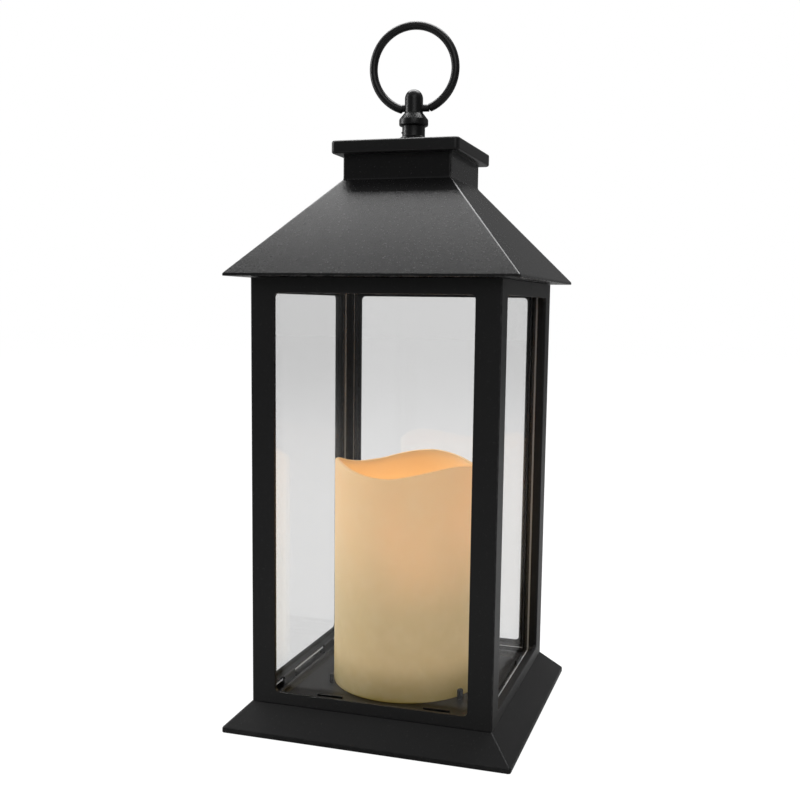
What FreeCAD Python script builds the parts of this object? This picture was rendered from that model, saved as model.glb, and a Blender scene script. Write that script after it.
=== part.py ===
import FreeCAD, Part
import math
import os

# A square plastic lantern with a battery candle. Millimetres, +Z up.
# The origin is the middle of the base's underside, the front faces -Y.

V = FreeCAD.Vector
UP = V(0, 0, 1)

# body: four posts and rails round the windows
body_half = 60.0            # half the outside width
wall = 4.7                  # wall thickness of posts and rails
body_corner = 0.7
body_bottom = 13.75
body_top = 218.6
window_half = 48.0
window_bottom = 19.4
window_top = 211.4
window_corner = 2.2
window_edge_radius = 0.5
window_skin = 1.8           # the wall steps back behind this skin, towards the clear panel
rebate_half = 49.8
rebate_bottom = 17.6
rebate_top = 213.2
seam = 0.2                  # gap between the front and the rear half
seam_at = 5.5               # the seam lies a little behind the middle

# clear panels behind the windows
panel_half = 51.0
panel_thick = 1.2
panel_bottom = 16.6
panel_top = 214.4
hook_places = (31.5, -22.0)
hook_half = 6.5
hook_thick = 1.4
hook_base = 13.9

# base skirt
skirt_half = 71.25
skirt_corner = 1.3
lip_height = 2.4
deck_top = 13.6
deck_bottom = 11.0
skirt_wall = 2.6
deck_opening_half = 52.3
ledge_top = 9.6
ledge_bottom = 7.2
ledge_opening_half = 38.0
ledge_corner = 4.0
well_wall = 2.4             # wall that drops from the deck to the ledge
rib_places = (-30.0, 0.0, 30.0)
rib_half = 0.9
rib_reach = 64.0
rib_bottom = 4.0
arm_half = 13.0             # snap arms that locate the body's walls
arm_at = 9.0
arm_inner = 53.0
arm_outer = 54.9
arm_top = 16.2

# floor tray
tray_half = 51.8
floor_top = 12.0
tray_rim_top = 15.2
tray_corner = 8.0
tray_wall = 1.8
tray_fillet = 1.6
boss_radius = 3.4           # round bosses under the tray that take its screws
boss_foot = 7.3
tray_pilot_radius = 1.3
access_radius = 31.5        # round hole under the candle
tray_screw_at = 43.5
tab_count = 3
tab_radius = 38.5           # inner face of the tabs that locate the candle
tab_thick = 2.4
tab_half = 1.5
tab_height = 5.0
tab_first_at = -30.0        # degrees from +X

# roof
eave_half = 69.85
eave_bottom = 218.85
eave_lip = 1.2
neck_half = 26.9
neck_bottom = 266.2
neck_top = 277.8
roof_thick = 2.0
roof_corner = 0.8
soffit_thick = 1.45
neck_plate = 2.2            # closes the neck under the cap
collar_outer = 52.0
collar_inner = 50.4
collar_bottom = 213.0
roof_tab_at = 39.5
roof_tab_width = 10.0
roof_tab_inner = 56.8
roof_tab_outer = 58.4
notch_depth = 1.1
cap_half = 31.62
cap_top = 284.0
cap_corner = 2.4
cap_edge_radius = 1.1
cap_plate = 2.4             # over the pocket in its underside
cap_screw_at = 18.0
cap_screw_post = 3.2
cap_pilot_radius = 1.3
boss_bottom = 275.0         # boss under the cap that carries the finial
boss_outer = 8.0
washer_thick = 0.8

# finial and ring
knob_radius = 4.5
stem_radius = 5.65
collar_radius = 7.2
flange_radius = 7.4
spigot_radius = 2.9
flange_bottom = 284.95
flange_top = 288.4
stem_bottom = 289.5
stem_top = 294.3
collar_low = 295.0
collar_high = 297.6
knob_bottom = 301.0
dome_centre = 307.6
finial_screw_radius = 1.55
finial_screw_end = 286.2
swivel_clearance = 0.07
ring_yaw = 7.3              # degrees that the ring is turned from facing the front
ring_centre = 322.0
ring_radius = 20.4          # to the middle of the wire
wire_radius = 2.0
pin_height = 303.07
pin_radius = 1.75
pin_clearance = 0.05
pin_left = 5.8              # how far the pin reaches each side of the middle
pin_right = 7.8
wire_left = 5.5             # where the ring's wire ends each side of the middle
wire_right = 7.6

# candle
candle_radius = 38.1
candle_bottom = 12.1
rim_middle = 126.0
rim_wave = 2.75             # the rim rises and falls this much
rim_lobes = 3
rim_peak_at = 86.0          # degrees from +X to a high point of the rim
shell_inner = 35.4
well_top = 96.5
flame_seat = 4.3            # round hole in the well for the flame tip
stalk_outer = 5.6
stalk_top = 93.4
lead_at = 1.27
board_bottom = 31.0
board_top = 32.6
foot_ring_top = 20.0
foot_ring_wall = 1.8
foot_radius = 35.1
foot_top = 14.1
door_half_x = 25.0
door_half_y = 18.0
door_top = 13.9
door_clearance = 0.3
hinge_x = -23.6
hinge_z = 13.5
barrel_radius = 1.4
hinge_pin_radius = 0.9
battery_radius = 5.25
battery_length = 43.6       # without the nub
battery_pitch = 11.4
battery_height = 20.7
box_wall = 1.4
box_top = 29.6
foot_screw_x = 15.0
foot_screw_y = 24.5
switch_y = 24.3
switch_travel = 6.0
switch_knob_bottom = 12.5   # the knob stays above the foot's underside
switch_slot_x = 5.6
switch_slot_y = 2.1
switch_case_top = 19.5

corners = [(1, 1), (-1, 1), (-1, -1), (1, -1)]


def block(x0, x1, y0, y1, z0, z1):
    return Part.makeBox(x1 - x0, y1 - y0, z1 - z0, V(x0, y0, z0))


def rod(radius, z0, z1, x=0.0, y=0.0):
    return Part.makeCylinder(radius, z1 - z0, V(x, y, z0))


def tube(inner, outer, z0, z1, x=0.0, y=0.0):
    return rod(outer, z0, z1, x, y).cut(rod(inner, z0 - 1, z1 + 1, x, y))


def rounded_wire(half_x, half_y, radius, z):
    """Closed outline of a rectangle with rounded corners, at height z."""
    diagonal = radius * (1 - math.sqrt(0.5))
    points = []
    for sx, sy in corners:
        along_x = V(sx * (half_x - radius), sy * half_y, z)
        middle = V(sx * (half_x - diagonal), sy * (half_y - diagonal), z)
        along_y = V(sx * half_x, sy * (half_y - radius), z)
        arc = (along_y, middle, along_x) if sx * sy > 0 else (along_x, middle, along_y)
        points.append(arc)
    edges = []
    for i, arc in enumerate(points):
        edges.append(Part.Arc(*arc).toShape())
        edges.append(Part.LineSegment(arc[2], points[(i + 1) % 4][0]).toShape())
    return Part.Wire(edges)


def prism(half, z0, z1, radius, half_y=None):
    wire = rounded_wire(half, half_y or half, radius, z0)
    return Part.Face(wire).extrude(V(0, 0, z1 - z0))


def frustum(low_half, z0, high_half, z1, low_radius, high_radius):
    low = rounded_wire(low_half, low_half, low_radius, z0)
    high = rounded_wire(high_half, high_half, high_radius, z1)
    return Part.makeLoft([low, high], True, True)


def turned(points):
    """Solid of revolution about Z from (radius, height) points that start and end on the axis."""
    wire = Part.makePolygon([V(r, 0, z) for r, z in points + points[:1]])
    return Part.Face(wire).revolve(V(0, 0, 0), UP, 360)


def spun(shape, angle, centre=V(0, 0, 0), axis=UP):
    copy = shape.copy()
    copy.rotate(centre, axis, angle)
    return copy


def on_four_sides(shape):
    """A piece on the front side, repeated on the other three."""
    return [spun(shape, 90 * i) for i in range(4)]


def fused(shapes):
    return shapes[0].multiFuse(list(shapes[1:])).removeSplitter()


def rounded_edges(shape, radius, wanted):
    return shape.makeFillet(radius, [e for e in shape.Edges if wanted(e.BoundBox)])


def save(name, shape):
    shape.exportStep(f"parts/{name}.step")
    box = shape.BoundBox
    print(f"{name:16s} solids {len(shape.Solids):2d} valid {shape.isValid()}"
          f" z {box.ZMin:7.2f} {box.ZMax:7.2f} volume {shape.Volume:9.1f}")


# ---- base -------------------------------------------------------------

def base_skirt():
    slope = (skirt_half - body_half) / (deck_top - lip_height)
    inner_low = skirt_half - skirt_wall
    inner_high = body_half + slope * (deck_top - deck_bottom) - skirt_wall
    outside = fused([prism(skirt_half, 0, lip_height, skirt_corner),
                     frustum(skirt_half, lip_height, body_half, deck_top, skirt_corner, body_corner)])
    inside = fused([prism(inner_low, -1, lip_height, 0.8),
                    frustum(inner_low, lip_height, inner_high, deck_bottom, 0.8, 0.8)])
    well = prism(deck_opening_half + well_wall, ledge_bottom, deck_top - 1, tray_corner + 2)
    shell = outside.cut(inside).fuse(well)
    shell = shell.cut(prism(deck_opening_half, ledge_top, deck_top + 1, tray_corner + 0.4))
    shell = shell.cut(prism(ledge_opening_half, 0, deck_top, ledge_corner))
    for sx, sy in corners:
        shell = shell.cut(rod(boss_radius + 0.2, 0, deck_top, sx * tray_screw_at, sy * tray_screw_at))
    ribs = []
    for side in (-1, 1):
        for at in rib_places:
            low, high = sorted((side * (deck_opening_half + 2), side * rib_reach))
            rib = block(at - rib_half, at + rib_half, low, high, rib_bottom, deck_bottom + 0.5)
            ribs += [rib, spun(rib, 90)]
    arm = block(arm_at - arm_half, arm_at + arm_half, -arm_outer, -arm_inner, deck_top - 1, arm_top)
    return fused([shell] + [r.common(outside) for r in ribs] + on_four_sides(arm))


def floor_tray():
    tray = prism(tray_half, ledge_top, tray_rim_top, tray_corner)
    hollow = prism(tray_half - tray_wall, floor_top, tray_rim_top + 1, tray_corner - tray_wall)
    hollow = rounded_edges(hollow, tray_fillet, lambda b: b.ZMax < floor_top + 0.01)
    tray = tray.cut(hollow)
    parts = [tray]
    for sx, sy in corners:
        parts.append(rod(boss_radius, boss_foot, floor_top, sx * tray_screw_at, sy * tray_screw_at))
    for i in range(tab_count):
        tab = block(tab_radius, tab_radius + tab_thick, -tab_half, tab_half,
                    floor_top - 0.5, floor_top + tab_height)
        tab = rounded_edges(tab, 1.3, lambda b: b.ZMin > floor_top + tab_height - 0.01 and b.XLength > 1)
        parts.append(spun(tab, tab_first_at + 360 / tab_count * i))
    tray = fused(parts)
    for sx, sy in corners:
        tray = tray.cut(rod(tray_pilot_radius, 7, floor_top - 0.8, sx * tray_screw_at, sy * tray_screw_at))
    return tray.cut(rod(access_radius, 0, floor_top + 1))


def pan_screw(head_radius, head_height, shank_radius, length):
    """Pan head screw that points up, with the underside of its head at z = 0."""
    head = rod(head_radius, -head_height, 0)
    head = rounded_edges(head, head_height * 0.45, lambda b: b.ZMax < -head_height + 0.01)
    screw = fused([head, rod(shank_radius, -0.2, length)])
    arm, half = head_radius * 0.55, head_radius * 0.12
    for a, b in ((arm, half), (half, arm)):
        screw = screw.cut(block(-a, a, -b, b, -head_height - 1, -head_height * 0.45))
    return screw


def screws(screw, places, z):
    copies = []
    for x, y in places:
        copy = screw.copy()
        copy.translate(V(x, y, z))
        copies.append(copy)
    return Part.makeCompound(copies)


def square_places(half_x, half_y):
    return [(sx * half_x, sy * half_y) for sx, sy in corners]


# ---- housing ----------------------------------------------------------

def wall_opening(half, low, high, outer):
    """Rounded opening in the front wall, from y = -outer inwards past the wall."""
    wire = rounded_wire(half, (high - low) / 2, window_corner, 0)
    wire.rotate(V(0, 0, 0), V(1, 0, 0), 90)
    wire.translate(V(0, -outer, (high + low) / 2))
    inner = body_half - wall - 1
    return Part.Face(wire).extrude(V(0, outer - inner, 0))


def body_tube():
    """Posts and rails in one piece, before they are split into the two halves."""
    inner = body_half - wall
    shape = prism(body_half, body_bottom, body_top, body_corner)
    shape = shape.cut(prism(inner, 0, body_top + 1, 0.8))
    for hole in on_four_sides(wall_opening(window_half, window_bottom, window_top, body_half + 1)):
        shape = shape.cut(hole)

    def window_edge(b):
        inside = b.ZMin > window_bottom - 0.1 and b.ZMax < window_top + 0.1
        on_x = min(abs(b.XMin), abs(b.XMax)) > body_half - 0.01 and b.YLength < 2 * window_half
        on_y = min(abs(b.YMin), abs(b.YMax)) > body_half - 0.01 and b.XLength < 2 * window_half
        return inside and (on_x or on_y)

    shape = rounded_edges(shape, window_edge_radius, window_edge)
    rebate = wall_opening(rebate_half, rebate_bottom, rebate_top, body_half - window_skin)
    for cut in on_four_sides(rebate):
        shape = shape.cut(cut)
    notch_half = roof_tab_width / 2 + 0.2
    pieces = []
    for at in (-roof_tab_at, roof_tab_at):
        notch = block(at - notch_half, at + notch_half, -body_half - 1, -body_half + wall - 1.2,
                      body_top - notch_depth, body_top + 1)
        for cut in on_four_sides(notch):
            shape = shape.cut(cut)
    # hooks that hold the clear panels, two at the bottom and two at the top of each side
    face = body_half - wall
    lip = face - panel_thick - 0.2
    for at in hook_places:
        low, high = at - hook_half, at + hook_half
        foot = block(low, high, -face - 0.3, -lip + hook_thick, hook_base, panel_bottom - 0.1)
        hook = block(low, high, -lip, -lip + hook_thick, hook_base, panel_bottom + 2.2)
        low = foot.fuse(hook)
        high = low.mirror(V(0, 0, (panel_bottom + panel_top) / 2), UP)
        pieces += on_four_sides(low) + on_four_sides(high)
    return fused([shape] + pieces)


def body_half_shell(body, side):
    """Front (side -1) or rear (side 1) half of the body."""
    low, high = sorted((seam_at + side * seam / 2, side * 100))
    return body.common(block(-100, 100, low, high, 0, 300))


def window_panel(angle):
    face = body_half - wall
    panel = block(-panel_half, panel_half, -face, -face + panel_thick, panel_bottom, panel_top)
    return spun(panel, angle)


def roof_shell():
    lip_top = eave_bottom + eave_lip
    slope = (neck_bottom - lip_top) / (eave_half - neck_half)
    offset = roof_thick / math.sin(math.atan(slope))
    soffit_top = eave_bottom + soffit_thick
    neck_inner = neck_half - roof_thick
    inner_eave = eave_half - (soffit_top - lip_top) / slope - offset
    inner_neck_z = neck_bottom - (neck_inner + offset - neck_half) * slope
    outside = fused([prism(eave_half, eave_bottom, lip_top, roof_corner),
                     frustum(eave_half, lip_top, neck_half, neck_bottom, roof_corner, roof_corner),
                     prism(neck_half, neck_bottom, neck_top, roof_corner)])
    inside = fused([frustum(inner_eave, soffit_top, neck_inner, inner_neck_z, 0.5, 0.5),
                    prism(neck_inner, inner_neck_z, neck_top - neck_plate, 0.5)])
    shell = outside.cut(inside).cut(prism(collar_inner, eave_bottom - 1, soffit_top + 1, 2.0))
    collar = prism(collar_outer, collar_bottom, eave_bottom + 1, 3.0)
    collar = collar.cut(prism(collar_inner, collar_bottom - 1, eave_bottom + 2, 2.0))
    tabs = []
    for at in (-roof_tab_at, roof_tab_at):
        tab = block(at - roof_tab_width / 2, at + roof_tab_width / 2, -roof_tab_outer, -roof_tab_inner,
                    body_top - 0.9, eave_bottom + 0.5)
        tabs += on_four_sides(tab)
    shell = fused([shell, collar] + tabs)
    shell = shell.cut(rod(8.5, neck_bottom, neck_top + 1))
    for x, y in square_places(cap_screw_at, cap_screw_at):
        shell = shell.cut(rod(1.7, neck_bottom, neck_top + 1, x, y))
    return shell


def roof_cap():
    plate = prism(cap_half, neck_top, cap_top, cap_corner)
    plate = rounded_edges(plate, cap_edge_radius, lambda b: b.ZLength < 0.01)
    pocket = prism(neck_half - roof_thick, neck_top - 1, cap_top - cap_plate, 1.0)
    bosses = [rod(boss_outer, boss_bottom, cap_top - 1)]
    for x, y in square_places(cap_screw_at, cap_screw_at):
        bosses.append(rod(cap_screw_post, neck_top, cap_top - 1, x, y))
    cap = fused([plate.cut(pocket)] + bosses)
    cap = cap.cut(rod(spigot_radius + swivel_clearance, boss_bottom - 1, cap_top + 1))
    for x, y in square_places(cap_screw_at, cap_screw_at):
        cap = cap.cut(rod(cap_pilot_radius, neck_top - 1, cap_top - 1.6, x, y))
    return cap


# ---- finial and ring --------------------------------------------------

def finial_knob():
    bottom = boss_bottom - 0.3
    outline = [(0, bottom), (spigot_radius, bottom), (spigot_radius, flange_bottom),
               (flange_radius - 0.5, flange_bottom), (flange_radius, flange_bottom + 0.5),
               (flange_radius, flange_top), (stem_radius, stem_bottom), (stem_radius, stem_top),
               (collar_radius - 0.6, stem_top), (collar_radius, collar_low), (collar_radius, collar_high),
               (knob_radius + 0.4, knob_bottom - 0.9), (knob_radius, knob_bottom),
               (knob_radius, dome_centre), (0, dome_centre)]
    dome = Part.makeSphere(knob_radius, V(0, 0, dome_centre))
    nub = Part.makeSphere(0.6, V(-stem_radius - 0.15, 0, stem_bottom + 1.5))
    knob = fused([turned(outline), dome, nub])
    hole = Part.makeCylinder(pin_radius + pin_clearance, 40, V(-20, 0, pin_height), V(1, 0, 0))
    knob = knob.cut(hole).cut(rod(finial_screw_radius, bottom - 1, finial_screw_end))
    return spun(knob, ring_yaw)


def carry_ring():
    """Open ring whose ends run into a straight pin through the knob."""
    centre = V(0, 0, ring_centre)
    left = math.degrees(math.asin(wire_left / ring_radius))
    right = math.degrees(math.asin(wire_right / ring_radius))
    start = ring_point(-90 + right)
    middle = ring_point(90)
    end = ring_point(-90 - left)
    path = Part.Wire(Part.Arc(start, middle, end).toShape())
    direction = start.sub(centre).cross(V(0, 1, 0))
    section = Part.Wire(Part.Circle(start, direction, wire_radius).toShape())
    ring = path.makePipeShell([section], True, True)
    pin = Part.makeCylinder(pin_radius, pin_left + pin_right, V(-pin_left, 0, pin_height), V(1, 0, 0))
    heel = Part.makeSphere(wire_radius, start)
    ring = fused([ring, pin, heel])
    return spun(ring, ring_yaw, centre)


def ring_point(angle):
    a = math.radians(angle)
    return V(ring_radius * math.cos(a), 0, ring_centre + ring_radius * math.sin(a))


# ---- candle -----------------------------------------------------------

def rim_height(angle):
    return rim_middle + rim_wave * math.cos(math.radians(rim_lobes * (angle - rim_peak_at)))


def above_rim():
    """Everything above the wavy rim, to cut the candle's shell with."""
    steps = 36
    wires = []
    for radius, drop in ((25.0, 1.5), (45.0, 0.0)):
        points = []
        for i in range(steps):
            a = 360 / steps * i
            points.append(V(radius * math.cos(math.radians(a)), radius * math.sin(math.radians(a)),
                            rim_height(a) - drop))
        curve = Part.BSplineCurve()
        curve.interpolate(points, PeriodicFlag=True)
        wires.append(Part.Wire(curve.toShape()))
    fan = Part.makeLoft(wires, False, True)
    return fan.Faces[0].extrude(V(0, 0, 30))


def candle_shell():
    shell = turned([(shell_inner, candle_bottom), (candle_radius - 1.0, candle_bottom),
                    (candle_radius, candle_bottom + 1.0), (candle_radius, 135), (candle_radius - 2.4, 135),
                    (candle_radius - 2.6, 115), (shell_inner, 100)])
    return shell.cut(above_rim())


def candle_well():
    """Floor of the candle's cup, dished towards the flame in its middle."""
    edge = shell_inner - 0.1
    return turned([(flame_seat, stalk_top + 0.2), (edge, well_top - 0.9), (edge, well_top + 3.0),
                   (edge - 2.2, well_top + 1.1), (12, well_top - 0.6), (flame_seat, well_top - 1.0)])


def flame_tip():
    """Hollow diffuser in the shape of a flame."""
    outside = [(0, 91.0), (4.2, 91.0), (4.2, 95.6), (4.9, 98.2), (5.0, 100.6), (4.4, 103.6),
               (3.1, 107.0), (1.6, 110.2), (0.5, 112.6), (0, 113.2)]
    return turned(outside).cut(rod(2.8, 90, 102.5))


def led_lamp():
    return fused([rod(2.5, 93.6, 99.0), Part.makeSphere(2.5, V(0, 0, 99.0)), rod(2.75, 92.6, 93.6)])


def led_stalk():
    socket = tube(2.9, flame_seat + 0.2, 88.0, 90.8)
    return tube(flame_seat, stalk_outer, board_top, stalk_top).fuse(socket)


def led_leads():
    return Part.makeCompound([rod(0.45, board_top, 92.6, side * lead_at) for side in (-1, 1)])


def circuit_board():
    board = prism(20.0, board_bottom, board_top, 1.5, 15.0)
    chip = block(8, 14, -3, 3, board_top, board_top + 1.6)
    quartz = rod(1.5, board_top, board_top + 3.9, -13, 6)
    capacitor = rod(2.5, board_top, board_top + 5.4, -13, -6)
    return fused([board, chip, quartz, capacitor])


def door_opening(z0, z1):
    x, y = door_half_x + door_clearance, door_half_y + door_clearance
    return block(-x, x, -y, y, z0, z1)


def cross_rod(radius, half_length):
    """Rod along the battery door's hinge line."""
    return Part.makeCylinder(radius, 2 * half_length, V(hinge_x, -half_length, hinge_z), V(0, 1, 0))


def candle_foot():
    plate = rod(foot_radius, candle_bottom, foot_top)
    wall_ring = tube(foot_radius - foot_ring_wall, foot_radius, candle_bottom, foot_ring_top)
    parts = [plate.cut(door_opening(0, 30)), wall_ring]
    y = door_half_y + door_clearance
    for low, high in ((-y - 2.2, -y), (y, y + 2.2)):
        parts.append(block(hinge_x - 3, hinge_x + 3, low, high, candle_bottom, 16.2))
    foot = fused(parts)
    foot = foot.cut(cross_rod(hinge_pin_radius + pin_clearance, 30))
    slot = block(-switch_slot_x, switch_slot_x, switch_y - switch_slot_y, switch_y + switch_slot_y, 0, 30)
    foot = foot.cut(slot)
    for x, y in square_places(foot_screw_x, foot_screw_y):
        foot = foot.cut(rod(1.3, 0, 30, x, y)).cut(rod(2.5, 0, 13.0, x, y))
    return foot


def battery_box():
    x, y = door_half_x + door_clearance, door_half_y + door_clearance
    outside = block(-x - box_wall, x + box_wall, -y - box_wall, y + box_wall, foot_top, box_top)
    parts = [outside.cut(door_opening(0, box_top - 1.6))]
    for sx, sy in corners:
        at_x, at_y = sx * foot_screw_x, sy * foot_screw_y
        low, high = sorted((sy * y, at_y))
        parts.append(block(at_x - 1, at_x + 1, low, high, foot_top, 22))
        parts.append(rod(2.8, foot_top, 22, at_x, at_y))
        parts.append(rod(2.0, box_top - 0.2, board_bottom, sx * 17, sy * 12))
    for side in (-1, 1):
        rib_y = side * battery_pitch / 2
        parts.append(block(-18, 18, rib_y - 0.25, rib_y + 0.25, 24.5, box_top - 1))
    box = fused(parts)
    for px, py in square_places(foot_screw_x, foot_screw_y):
        box = box.cut(rod(1.05, 0, 20.5, px, py))
    for side in (-1, 1):
        low, high = sorted((side * y, side * (y + 2.4)))
        box = box.cut(block(hinge_x - 3.1, hinge_x + 3.1, low - 0.1, high + 0.1, 0, 16.3))
    return box


def battery(row, flip):
    """One AAA cell, lying along X, with its nub towards +X, or towards -X when flipped."""
    start = -battery_length / 2 + 0.6
    can = Part.makeCylinder(battery_radius, battery_length, V(start, 0, 0), V(1, 0, 0))
    can = rounded_edges(can, 0.5, lambda b: b.XLength < 0.01)
    nub = Part.makeCylinder(1.9, 0.9, V(start + battery_length, 0, 0), V(1, 0, 0))
    cell = fused([can, nub])
    if flip:
        cell = spun(cell, 180)
    cell.translate(V(0, row * battery_pitch, battery_height))
    return cell


def contact_springs():
    """Rings that narrow towards the cell, one stack for each cell."""
    coils = []
    for row, flip in ((-1, False), (0, True), (1, False)):
        side = 1 if flip else -1
        for i in range(4):
            place = V(side * (24.15 - i * 0.86), row * battery_pitch, battery_height)
            coils.append(Part.makeTorus(3.4 - 0.5 * i, 0.3, place, V(1, 0, 0)))
    return Part.makeCompound(coils)


def contact_plates():
    plates = []
    for row in (-1, 0, 1):
        for side in (-1, 1):
            low, high = sorted((side * 24.5, side * 25.2))
            y = row * battery_pitch
            plates.append(block(low, high, y - 4.2, y + 4.2, battery_height - 4.2, battery_height + 4.2))
    return Part.makeCompound(plates)


def switch_case():
    y0, y1 = switch_y - 3.6, switch_y + 3.6
    case = block(-9.0, 9.0, y0, y1, foot_top, switch_case_top)
    return case.cut(block(-7.8, 7.8, y0 - 1, y1 + 1, foot_top - 1, switch_case_top - 1.6))


def switch_slider():
    x = switch_travel / 2
    low = switch_knob_bottom
    knob = block(x - 2.3, x + 2.3, switch_y - 1.8, switch_y + 1.8, low, foot_top + 0.5)
    knob = rounded_edges(knob, 0.4, lambda b: b.ZMax < low + 0.01)
    grooves = [block(x + at - 0.25, x + at + 0.25, switch_y - 3, switch_y + 3, low - 1, low + 0.4)
               for at in (-1, 0, 1)]
    flange = block(x - 4.0, x + 4.0, switch_y - 2.8, switch_y + 2.8, foot_top + 0.3, 16.4)
    return fused([knob, flange]).cut(Part.makeCompound(grooves))


def battery_door():
    plate = block(hinge_x, door_half_x, -door_half_y, door_half_y, candle_bottom, door_top)
    plate = rounded_edges(plate, 1.0, lambda b: b.ZLength > 1 and b.XMin > door_half_x - 0.01)
    barrel = cross_rod(barrel_radius, door_half_y)
    pins = cross_rod(hinge_pin_radius, door_half_y + 1.8)
    recess = block(16.5, 22.5, -6, 6, 0, candle_bottom + 0.8)
    recess = rounded_edges(recess, 2.0, lambda b: b.ZLength > 5)
    ribs = [block(-19.0, 20.0, row * battery_pitch - 0.6, row * battery_pitch + 0.6, door_top - 0.2, 14.9)
            for row in (-1, 0, 1)]
    return fused([plate, barrel, pins] + ribs).cut(recess)


def build():
    os.makedirs("parts", exist_ok=True)
    body = body_tube()
    tray_screw = pan_screw(4.4, 2.1, 1.25, 3.9)
    foot_screw = pan_screw(2.3, 1.0, 1.0, 7.0)
    cap_screw = pan_screw(2.8, 1.8, 1.25, 6.0)
    nodes = {
        "base_skirt": base_skirt(),
        "floor_tray": floor_tray(),
        "tray_screws": screws(tray_screw, square_places(tray_screw_at, tray_screw_at), ledge_bottom),
        "front_frame": body_half_shell(body, -1),
        "rear_frame": body_half_shell(body, 1),
        "window_front": window_panel(0),
        "window_right": window_panel(90),
        "window_rear": window_panel(180),
        "window_left": window_panel(270),
        "roof_shell": roof_shell(),
        "roof_cap": roof_cap(),
        "cap_screws": screws(cap_screw, square_places(cap_screw_at, cap_screw_at), neck_top - 2.2),
        "swivel_washer": tube(spigot_radius + 0.3, 6.6, cap_top, cap_top + washer_thick),
        "finial_knob": finial_knob(),
        "finial_washer": tube(1.7, 6.2, boss_bottom - 1.3, boss_bottom - 0.3),
        "finial_screw": screws(pan_screw(3.2, 2.2, 1.5, 10.5), [(0, 0)], boss_bottom - 1.3),
        "carry_ring": carry_ring(),
        "candle_shell": candle_shell(),
        "candle_well": candle_well(),
        "flame_tip": flame_tip(),
        "led_lamp": led_lamp(),
        "led_stalk": led_stalk(),
        "led_leads": led_leads(),
        "circuit_board": circuit_board(),
        "candle_foot": candle_foot(),
        "foot_screws": screws(foot_screw, square_places(foot_screw_x, foot_screw_y), 13.0),
        "battery_box": battery_box(),
        "battery_front": battery(-1, False),
        "battery_middle": battery(0, True),
        "battery_rear": battery(1, False),
        "contact_springs": contact_springs(),
        "contact_plates": contact_plates(),
        "switch_case": switch_case(),
        "switch_slider": switch_slider(),
        "battery_door": battery_door(),
    }
    for name, shape in nodes.items():
        save(name, shape)


build()
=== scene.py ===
import math

import bmesh
import bpy
from mathutils import Matrix, Vector, noise


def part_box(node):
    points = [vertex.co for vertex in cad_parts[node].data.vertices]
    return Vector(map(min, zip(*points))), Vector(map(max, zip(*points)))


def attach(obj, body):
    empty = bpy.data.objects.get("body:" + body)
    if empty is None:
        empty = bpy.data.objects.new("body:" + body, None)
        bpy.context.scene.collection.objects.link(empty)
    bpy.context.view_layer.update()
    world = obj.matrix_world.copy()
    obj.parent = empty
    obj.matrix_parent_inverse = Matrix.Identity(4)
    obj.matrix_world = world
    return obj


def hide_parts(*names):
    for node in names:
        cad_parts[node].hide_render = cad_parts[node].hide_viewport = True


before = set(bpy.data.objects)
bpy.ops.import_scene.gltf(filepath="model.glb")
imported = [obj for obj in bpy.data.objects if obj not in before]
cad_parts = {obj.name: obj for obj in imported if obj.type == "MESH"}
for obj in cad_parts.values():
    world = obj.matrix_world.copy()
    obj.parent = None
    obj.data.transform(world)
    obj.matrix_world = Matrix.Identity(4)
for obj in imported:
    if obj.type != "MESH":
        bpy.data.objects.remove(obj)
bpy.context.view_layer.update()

scene = bpy.context.scene


cameraSet = {"place": (0.15892, -0.50844, 0.20585), "yaw": 17.235, "down": 6.95, "roll": 0.768,
             "lens": 47.13, "shift": (-0.0148, 0.043), "nearest": 0.01}


def makeCamera():
    s = cameraSet
    camera = bpy.data.cameras.new("camera")
    camera.lens = s["lens"]
    camera.shift_x, camera.shift_y = s["shift"]
    camera.clip_start = s["nearest"]
    holder = bpy.data.objects.new("camera", camera)
    turn = Matrix.Rotation(math.radians(s["yaw"]), 4, "Z")
    tilt = Matrix.Rotation(math.radians(90 - s["down"]), 4, "X")
    roll = Matrix.Rotation(math.radians(s["roll"]), 4, "Z")
    holder.matrix_world = Matrix.Translation(s["place"]) @ turn @ tilt @ roll
    scene.collection.objects.link(holder)
    scene.camera = holder


makeCamera()
print("camera placed")


class Flow:
    # one socket of a node tree, on which Python's + - * add Math nodes
    def __init__(self, tree, socket=None):
        self.tree = tree
        self.socket = socket

    def node(self, kind, settings=None, inputs=None, output=0):
        made = self.tree.nodes.new(kind)
        for name, value in (settings or {}).items():
            setattr(made, name, value)
        for name, value in (inputs or {}).items():
            if isinstance(value, Flow):
                self.tree.links.new(value.socket, made.inputs[name])
            else:
                made.inputs[name].default_value = value
        return Flow(self.tree, made.outputs[output])

    def maths(self, operation, other, flipped=False):
        values = (other, self) if flipped else (self, other)
        return self.node("ShaderNodeMath", {"operation": operation}, dict(enumerate(values)))

    def __add__(self, other):
        return self.maths("ADD", other)

    def __radd__(self, other):
        return self.maths("ADD", other, True)

    def __sub__(self, other):
        return self.maths("SUBTRACT", other)

    def __rsub__(self, other):
        return self.maths("SUBTRACT", other, True)

    def __mul__(self, other):
        return self.maths("MULTIPLY", other)

    def __rmul__(self, other):
        return self.maths("MULTIPLY", other, True)

    def smooth(self, start, end):
        # 0 at start and 1 at end, with a soft change between them
        settings = {"interpolation_type": "SMOOTHSTEP"}
        return self.node("ShaderNodeMapRange", settings, {"Value": self, "From Min": start, "From Max": end})


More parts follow.
